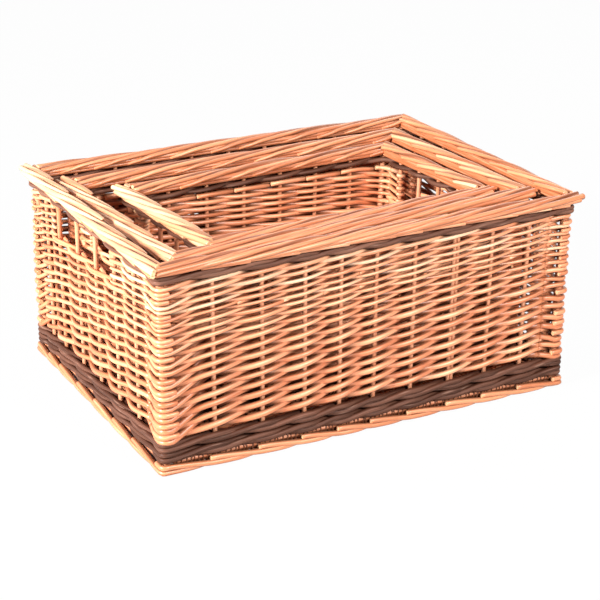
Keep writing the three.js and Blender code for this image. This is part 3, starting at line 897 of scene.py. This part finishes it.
# A border rod: its length in bays, the share of it that is there, its thickness at the ends and what
# the middle has more, its tones on the four sides, lighter on the left and darker on the front and back
# as painted light and shade, the painted shade on its edges and how narrow that is, and its cut tip.
BORDER_BAYS = 4.6
BORDER_STEPS = 10
BORDER_END = 0.88
END_STRAY = 0.02
START_STRAY = 0.2
BORDER_WOBBLE = 0.016
BORDER_WAVES = (9, 16)
BORDER_LIFT = (-0.0010, 0.0005)
BORDER_ROD = 0.0031
BORDER_THICKNESS = (0.85, 1.18)
BORDER_TAPER = (0.82, 0.24)
BORDER_TONES_AND_PAINTED_LIGHT = ((0.0, 0.4), (0.25, 0.9), (0.0, 0.6), (0.7, 1.0))
BORDER_CREASE_SHADE = (0.6, 1.0)
BORDER_EDGE = 5
TIP_SLANT = 0.9
TIP_PRESS = 0.0004
TIP_SHARE = 0.06

# Where two walls' borders meet: how uneven the cuts are, and how far the borders go past the wall's middle
# plane. Ends that stand free recede below the undercut's height.
CUT_STRAY = (-0.0008, 0.0004)
FRONT_THROUGH = 0.0150
LEFT_THROUGH = 0.0180
UNDERCUT_HEIGHT = 0.0080
UNDERCUT_SLOPE = 3.0
BUTT_END = 0.0070
RIGHT_PAST = 0.0010
LEFT_PAST = 0.0025

# Out, up and radius of the rods inside the border.
BORDER_CORES = (
    (0.0088, 0.0050, 0.0034),
    (0.0030, 0.0052, 0.0036),
    (-0.0028, 0.0048, 0.0034),
    (0.0030, 0.0014, 0.0028),
    (-0.0030, 0.0014, 0.0028),
)
CORE_SHORTER = 0.002

# The rods under the border's outer edge: where they start, and how far they go, out and up.
UNDER_LENGTHS = (0.045, 0.075)
UNDER_OUT = (0.0088, 0.0040)
UNDER_UP = (0.0018, 0.0004)
UNDER_POINTS = 8


def border_reach(side, far, out, up):
    """How far beyond the wall's middle plane a border rod goes at its wall's left or far end. The front's
    runs through at the right corner, and the left's at the back. The others are mitred or butt."""
    undercut = UNDERCUT_SLOPE * max(UNDERCUT_HEIGHT - up, 0.0)
    if side == FRONT:
        return FRONT_THROUGH - undercut if far else min(out, BUTT_END)
    if side == RIGHT:
        return out + RIGHT_PAST if far else -BUTT_END
    if side == BACK:
        return -BUTT_END if far else out
    return out + LEFT_PAST if far else LEFT_THROUGH - undercut


def border_line(basket, side, start, lift):
    """Distances along, out and up of a border rod that comes out under the border at a place in bays."""
    last = 1.0 if side == BACK else BORDER_END + basket.uniform(-END_STRAY, END_STRAY)
    way = np.linspace(0, last, round(BORDER_BAYS * BORDER_STEPS))
    half = float(basket.half_run(side, basket.top))
    along = (start + way * BORDER_BAYS) * basket.bay(side) - half
    wave = BORDER_WOBBLE * np.sin(way * basket.uniform(*BORDER_WAVES) + basket.uniform(*PHASE))
    place = way + wave * np.sin(way / last * math.pi)
    out = through_mm(BORDER_SHARES, BORDER_WAY_OUT, place)
    up = through_mm(BORDER_SHARES, BORDER_WAY_UP, place) + basket.border_low
    sunk = lift - TIP_PRESS * window(way - last, TIP_SHARE)
    arm = np.stack([out, up], 1) - np.array([MIDDLE_OUT, basket.border_low + MIDDLE_UP])
    arm /= np.linalg.norm(arm, axis=1)[:, None]
    return along, out + arm[:, 0] * sunk, up + arm[:, 1] * sunk


def border_cut(basket, side, far, line):
    """How far from its wall's middle a border rod is cut at one end."""
    along, out, up = line
    half = float(basket.half_run(side, basket.top))
    end = half if far else -half
    place = np.interp(end, along, out), np.interp(end, along, up - basket.border_low)
    return half + basket.uniform(*CUT_STRAY) + border_reach(side, far, *place)


def border_piece(basket, pile, side, line, radius, tone):
    """Adds a border rod, cut at the ends of its wall's border."""
    along, out, up = line
    left, right = (border_cut(basket, side, far, line) for far in (False, True))
    for a, b in runs_of((along > -left) & (along < right)):
        if b - a < FEWEST_POINTS:
            continue
        cut = np.clip(along[max(a - 1, 0) : b + 1], -left, right)
        out_cut = np.interp(cut, along, out)
        up_cut = np.interp(cut, along, up)
        points = basket.world(side, cut, out_cut, up_cut)
        rise = up_cut - basket.border_low - MIDDLE_UP
        edgeways = basket.crosswise(side, -rise, out_cut - MIDDLE_OUT)
        share = (cut - along[0]) / (along[-1] - along[0])
        ends, more = BORDER_TAPER
        thick = radius * (ends + more * np.sin(math.pi * np.clip(share, 0, 1)))
        tip = TIP_SLANT if b == len(along) and side != BACK else 0.0
        # Painted shade on the rod's edges.
        seam = basket.uniform(*BORDER_CREASE_SHADE)
        pile.rod(points, thick, tone, tip=tip, up=edgeways, seam=seam, edge=BORDER_EDGE)


def border(basket):
    """Long rods, one from under the border at each stake: up its outer edge, over the top at a slant, and
    to the inner edge, where its cut tip shows."""
    pile = Pile(basket)
    for side in range(4):
        for number in range(-math.ceil(BORDER_BAYS), int(basket.bays[side]) + 1):
            start = number + basket.uniform(-START_STRAY, START_STRAY)
            lift = basket.uniform(*BORDER_LIFT)
            radius = BORDER_ROD * basket.uniform(*BORDER_THICKNESS)
            # The tones are lighter on the left and darker on the front and back, as painted light and
            # shade.
            tone = basket.uniform(*BORDER_TONES_AND_PAINTED_LIGHT[side])
            border_piece(basket, pile, side, border_line(basket, side, start, lift), radius, tone)
        add_border_cores(basket, pile, side)
        add_under_rods(basket, pile, side)
    pile.piece("rim_border", "border_willow", ["rim_border"])


def add_border_cores(basket, pile, side):
    """Rods that fill the border, and the one that shows along its inner edge."""
    half = float(basket.half_run(side, basket.top))
    for out, up, radius in BORDER_CORES:
        left, right = (half - CORE_SHORTER + border_reach(side, far, out, up) for far in (False, True))
        along = np.linspace(-left, right, LONG_ROD_POINTS)
        points = basket.world(side, along, out, basket.border_low + up)
        pile.rod(points, radius, 0.0, sides=CORE_SIDES)


def add_under_rods(basket, pile, side):
    """The rods that come out under the border's outer edge, one at each stake, with their cut ends."""
    half = float(basket.half_run(side, basket.top))
    share = np.linspace(0, 1, UNDER_POINTS)
    out = UNDER_OUT[0] + UNDER_OUT[1] * share
    up = basket.border_low + UNDER_UP[0] + UNDER_UP[1] * share
    for number in range(1, int(basket.bays[side])):
        length = basket.uniform(*UNDER_LENGTHS)
        start = (number + basket.uniform(-START_STRAY, START_STRAY)) * basket.bay(side) - half
        pile.plain_rod("under border", basket.world(side, start + length * share, out, up))


# Base

BASE_INSET = 0.0095
STICK_SPACING = 0.062
STICK_INSET = 0.012
STICK_POINTS = 30
BASE_SPACING = 0.0055
BASE_WAVE = 0.0019
BASE_STEPS = 6


def base(basket):
    """Crosswise rods woven over and under lengthwise sticks."""
    pile = Pile(basket)
    level = basket.base_level
    half_length = float(basket.half_run(FRONT, level)) - BASE_INSET
    half_width = float(basket.half_run(RIGHT, level)) - BASE_INSET
    sticks = round(2 * half_width / STICK_SPACING)
    places = np.linspace(-half_width + STICK_INSET, half_width - STICK_INSET, sticks + 1)
    along = np.linspace(-half_length, half_length, STICK_POINTS)
    for place in places:
        pile.plain_rod("stick", basket.world(FRONT, along, -place - half_width - BASE_INSET, level))
    rods = round(2 * half_length / BASE_SPACING)
    spacing = places[1] - places[0]
    y = np.linspace(-half_width, half_width, BASE_STEPS * (sticks + 2))
    for number in range(rods):
        x = -half_length + (number + 0.5) * 2 * half_length / rods
        wave = np.cos(math.pi * ((y - places[0]) / spacing + number % 2))
        out = -y - half_width - BASE_INSET
        pile.plain_rod("base", basket.world(FRONT, np.full(len(y), x), out, level + BASE_WAVE * wave))
    pile.piece("base_mat", "base_willow", ["base_mat"])


# Materials

BUFF = (
    (0.54, 0.155, 0.060), (0.72, 0.245, 0.108), (0.82, 0.31, 0.15), (0.88, 0.40, 0.21), (0.92, 0.54, 0.33),
)
BORDER_BUFF = ((0.46, 0.135, 0.050), (0.62, 0.21, 0.088), (0.74, 0.29, 0.135), (0.93, 0.56, 0.33))
STAKE_BUFF = ((0.48, 0.15, 0.066), (0.60, 0.22, 0.105), (0.70, 0.31, 0.17))
DARK = ((0.036, 0.013, 0.007), (0.072, 0.028, 0.016), (0.135, 0.056, 0.034), (0.26, 0.120, 0.075))
BUFF_STREAK = ((0.52, 0.15, 0.055), (0.93, 0.58, 0.36))
DARK_STREAK = ((0.045, 0.018, 0.012), (0.36, 0.175, 0.125))
CUT_WOOD = (0.82, 0.46, 0.24)
KNOT = (0.28, 0.09, 0.04)
DARK_KNOT = (0.30, 0.17, 0.12)

# Painted shade in the weave's hollows, between the rods and on their inner sides: its colour and how
# strongly it covers.
PAINTED_SHADE_COLOUR = (0.045, 0.011, 0.004)
PAINTED_SHADE_STRENGTH = 0.96

# Each texture's scale along and across a rod, the range of it that shows, and how strongly it does.
BLOTCH_SCALE = (9, 120, 120)
BLOTCH_RANGE = (0.42, 0.72)
BLOTCH_SHARE = 0.45
STREAK_SCALE = (26, 900, 900)
STREAK_RANGE = (0.5, 0.78)
STREAK_SHARE = 0.5
KNOT_SCALE = (22, 170, 170)
KNOT_RANGE = (0.10, 0.22)
GLOSS_RANGE = (0.3, 0.7)
BUMP_STRENGTH = 0.35
BUMP_DISTANCE = 0.0003


def nodes_of(name):
    material = bpy.data.materials.new(name)
    material.use_nodes = True
    tree = material.node_tree
    tree.nodes.clear()
    return material, tree


def link(tree, source, target):
    tree.links.new(source, target)


def noise(tree, vector, detail, roughness=0.5):
    node = tree.nodes.new("ShaderNodeTexNoise")
    node.inputs["Scale"].default_value = 1.0
    node.inputs["Detail"].default_value = detail
    node.inputs["Roughness"].default_value = roughness
    link(tree, vector, node.inputs["Vector"])
    return node.outputs["Fac"]


def stretched(tree, vector, scale):
    node = tree.nodes.new("ShaderNodeMapping")
    node.inputs["Scale"].default_value = scale
    link(tree, vector, node.inputs["Vector"])
    return node.outputs["Vector"]


def ramp(tree, value, colours):
    """Colours at even places from 0 to 1."""
    node = tree.nodes.new("ShaderNodeValToRGB")
    node.color_ramp.interpolation = "EASE"
    elements = node.color_ramp.elements
    while len(elements) < len(colours):
        elements.new(0.5)
    for element, place, colour in zip(elements, np.linspace(0, 1, len(colours)), colours):
        element.position = place
        element.color = (*colour, 1)
    link(tree, value, node.inputs["Fac"])
    return node.outputs["Color"]


def remap(tree, value, low, high, to_low, to_high):
    node = tree.nodes.new("ShaderNodeMapRange")
    for socket, number in zip(("From Min", "From Max", "To Min", "To Max"), (low, high, to_low, to_high)):
        node.inputs[socket].default_value = number
    link(tree, value, node.inputs["Value"])
    return node.outputs["Result"]


def mix(tree, factor, a, b):
    """A colour socket mixed with a plain colour."""
    node = tree.nodes.new("ShaderNodeMix")
    node.data_type = "RGBA"
    link(tree, factor, node.inputs["Factor"])
    link(tree, a, node.inputs["A"])
    node.inputs["B"].default_value = (*b, 1)
    return node.outputs["Result"]


def attribute(tree, name, output):
    node = tree.nodes.new("ShaderNodeAttribute")
    node.attribute_name = name
    return node.outputs[output]


def knots_of(tree, grain, share):
    """How much of a knot's colour a place has."""
    spots = tree.nodes.new("ShaderNodeTexVoronoi")
    spots.inputs["Scale"].default_value = 1.0
    link(tree, stretched(tree, grain, KNOT_SCALE), spots.inputs["Vector"])
    return remap(tree, spots.outputs["Distance"], *KNOT_RANGE, share, 0.0)


def willow(name, tones, streak, roughness, knot_share, knot, shine):
    """Willow: a tone for each rod, blotches, lengthwise streaks, knots, painted shade in the hollows and
    pale cut ends.
    """
    material, tree = nodes_of(name)
    grain = attribute(tree, "rod_grain", "Vector")
    blotch = noise(tree, stretched(tree, grain, BLOTCH_SCALE), 3)
    fine = noise(tree, stretched(tree, grain, STREAK_SCALE), 4, 0.6)
    painted_shade = attribute(tree, "rod_painted_shade", "Fac")
    colour = ramp(tree, attribute(tree, "rod_tone", "Fac"), tones)
    colour = mix(tree, remap(tree, blotch, *BLOTCH_RANGE, 0.0, BLOTCH_SHARE), colour, streak[0])
    colour = mix(tree, remap(tree, fine, *STREAK_RANGE, 0.0, STREAK_SHARE), colour, streak[1])
    colour = mix(tree, knots_of(tree, grain, knot_share), colour, knot)
    # Painted shade in the hollows, between rods and on their inner sides.
    colour = mix(tree, remap(tree, painted_shade, 0.0, 1.0, 0.0, PAINTED_SHADE_STRENGTH), colour, PAINTED_SHADE_COLOUR)
    colour = mix(tree, attribute(tree, "cut_end", "Fac"), colour, CUT_WOOD)
    shader = tree.nodes.new("ShaderNodeBsdfPrincipled")
    shader.inputs["Specular IOR Level"].default_value = shine
    link(tree, colour, shader.inputs["Base Color"])
    link(tree, remap(tree, fine, *GLOSS_RANGE, *roughness), shader.inputs["Roughness"])
    bump = tree.nodes.new("ShaderNodeBump")
    bump.inputs["Strength"].default_value = BUMP_STRENGTH
    bump.inputs["Distance"].default_value = BUMP_DISTANCE
    link(tree, fine, bump.inputs["Height"])
    link(tree, bump.outputs["Normal"], shader.inputs["Normal"])
    output = tree.nodes.new("ShaderNodeOutputMaterial")
    link(tree, shader.outputs["BSDF"], output.inputs["Surface"])
    return material


# For each slot: colours, blotches and streaks, roughness, share and colour of the knots, and shine.
FINISHES = {
    "weave_willow": (BUFF, BUFF_STREAK, (0.30, 0.44), 0.35, KNOT, 0.5),
    "border_willow": (BORDER_BUFF, BUFF_STREAK, (0.30, 0.44), 0.35, KNOT, 0.5),
    "stake_willow": (STAKE_BUFF, BUFF_STREAK, (0.4, 0.5), 0.3, KNOT, 0.5),
    "dark_willow": (DARK, DARK_STREAK, (0.45, 0.6), 0.5, DARK_KNOT, 0.14),
    "base_willow": (BUFF, BUFF_STREAK, (0.42, 0.55), 0.35, KNOT, 0.5),
}
MATERIALS = {slot: willow(slot, *finish) for slot, finish in FINISHES.items()}


# Stage, light and camera

FLOOR_SIZE = 12
FLOOR_GREY = (0.5, 0.5, 0.5, 1)
FLOOR_WHITE = 0.975
WORLD_LIGHT = 0.07
WHITE = (1, 1, 1, 1)

# Each lamp's place, what it aims at, its size and its power.
LAMPS = {
    "key": ((-2.3, -0.40, 1.20), (0, 0, 0.12), 0.6, 190),
    "front": ((0.5, -2.2, 1.62), (0, 0, 0.1), 0.6, 80),
    "back": ((1.4, 1.2, 1.6), (0, 0, 0.2), 0.9, 15),
}

# The camera, found by matching the rims, corners and stakes of the three baskets to the photograph.
CAMERA_TARGET = Vector((0.123733, 0.215344, -0.007688))
CAMERA_DISTANCE = 2.32585
CAMERA_AZIMUTH = math.radians(-28.481)
CAMERA_ELEVATION = math.radians(21.7695)
CAMERA_ROLL = math.radians(0.6843)
CAMERA_FAR = 50
FOCAL_PIXELS = 1656.515
FRAME_PIXELS = 600
SENSOR = 36.0


def seen_directly(tree):
    """1 for what the camera sees, also in a reflection or through glass."""
    ray = tree.nodes.new("ShaderNodeLightPath")
    total = ray.outputs["Is Camera Ray"]
    for output in ("Is Glossy Ray", "Is Transmission Ray"):
        both = tree.nodes.new("ShaderNodeMath")
        both.operation = "ADD"
        both.use_clamp = True
        link(tree, total, both.inputs[0])
        link(tree, ray.outputs[output], both.inputs[1])
        total = both.outputs["Value"]
    return total


def blend(tree, share, first, second, kind):
    """Two shaders mixed by a share, on an output of a kind."""
    both = tree.nodes.new("ShaderNodeMixShader")
    link(tree, share, both.inputs["Fac"])
    link(tree, first, both.inputs[1])
    link(tree, second, both.inputs[2])
    output = tree.nodes.new(kind)
    link(tree, both.outputs["Shader"], output.inputs["Surface"])


def plain_floor():
    """A white floor that keeps the shadow, faintly."""
    bpy.ops.mesh.primitive_plane_add(size=FLOOR_SIZE, location=(0, 0, 0))
    floor = bpy.context.object
    floor.name = "floor"
    material, tree = nodes_of("floor_white")
    seen = tree.nodes.new("ShaderNodeMath")
    seen.operation = "MULTIPLY"
    seen.inputs[1].default_value = FLOOR_WHITE
    link(tree, seen_directly(tree), seen.inputs[0])
    diffuse = tree.nodes.new("ShaderNodeBsdfDiffuse")
    diffuse.inputs["Color"].default_value = FLOOR_GREY
    glow = tree.nodes.new("ShaderNodeEmission")
    glow.inputs["Color"].default_value = WHITE
    glow.inputs["Strength"].default_value = 1.0
    shaders = diffuse.outputs["BSDF"], glow.outputs["Emission"]
    blend(tree, seen.outputs["Value"], *shaders, "ShaderNodeOutputMaterial")
    floor.data.materials.append(material)


def white_world():
    """White to the camera, plain soft light to everything else."""
    world = bpy.data.worlds.new("studio")
    bpy.context.scene.world = world
    world.use_nodes = True
    tree = world.node_tree
    tree.nodes.clear()
    shaders = []
    for strength in (WORLD_LIGHT, 1.0):
        node = tree.nodes.new("ShaderNodeBackground")
        node.inputs["Color"].default_value = WHITE
        node.inputs["Strength"].default_value = strength
        shaders.append(node.outputs["Background"])
    blend(tree, seen_directly(tree), *shaders, "ShaderNodeOutputWorld")


def lamp(name, place, aim, size, power):
    data = bpy.data.lights.new(name, "AREA")
    data.shape = "SQUARE"
    data.size = size
    data.energy = power
    lamp_object = bpy.data.objects.new(name, data)
    lamp_object.location = place
    towards = Vector(aim) - Vector(place)
    lamp_object.rotation_euler = towards.to_track_quat("-Z", "Y").to_euler()
    bpy.context.scene.collection.objects.link(lamp_object)


def camera():
    a, e = CAMERA_AZIMUTH, CAMERA_ELEVATION
    back = Vector((math.sin(a) * math.cos(e), -math.cos(a) * math.cos(e), math.sin(e)))
    right = Vector((math.cos(a), math.sin(a), 0))
    up = back.cross(right)
    c, s = math.cos(CAMERA_ROLL), math.sin(CAMERA_ROLL)
    right, up = right * c + up * s, up * c - right * s
    data = bpy.data.cameras.new("camera")
    data.sensor_width = SENSOR
    data.lens = FOCAL_PIXELS / FRAME_PIXELS * SENSOR
    data.clip_end = CAMERA_FAR
    viewer = bpy.data.objects.new("camera", data)
    turn = Matrix((right, up, back)).transposed().to_4x4()
    viewer.matrix_world = Matrix.Translation(CAMERA_TARGET + back * CAMERA_DISTANCE) @ turn
    bpy.context.scene.collection.objects.link(viewer)
    bpy.context.scene.camera = viewer


BASKETS = (
    Basket("outer", bays=(10, 7), turn=0.0, rows=34, seed=5),
    Basket("middle", bays=(8, 5), turn=1.8, rows=29, seed=6),
    Basket("inner", bays=(7, 5), turn=2.9, rows=25, seed=7),
)

camera()
plain_floor()
white_world()
for lamp_name, settings in LAMPS.items():
    lamp(lamp_name, *settings)
bpy.context.scene.view_settings.view_transform = "Standard"
for basket in BASKETS:
    weave(basket)
    stake_walls(basket)
    wales(basket)
    foot(basket)
    border(basket)
    base(basket)
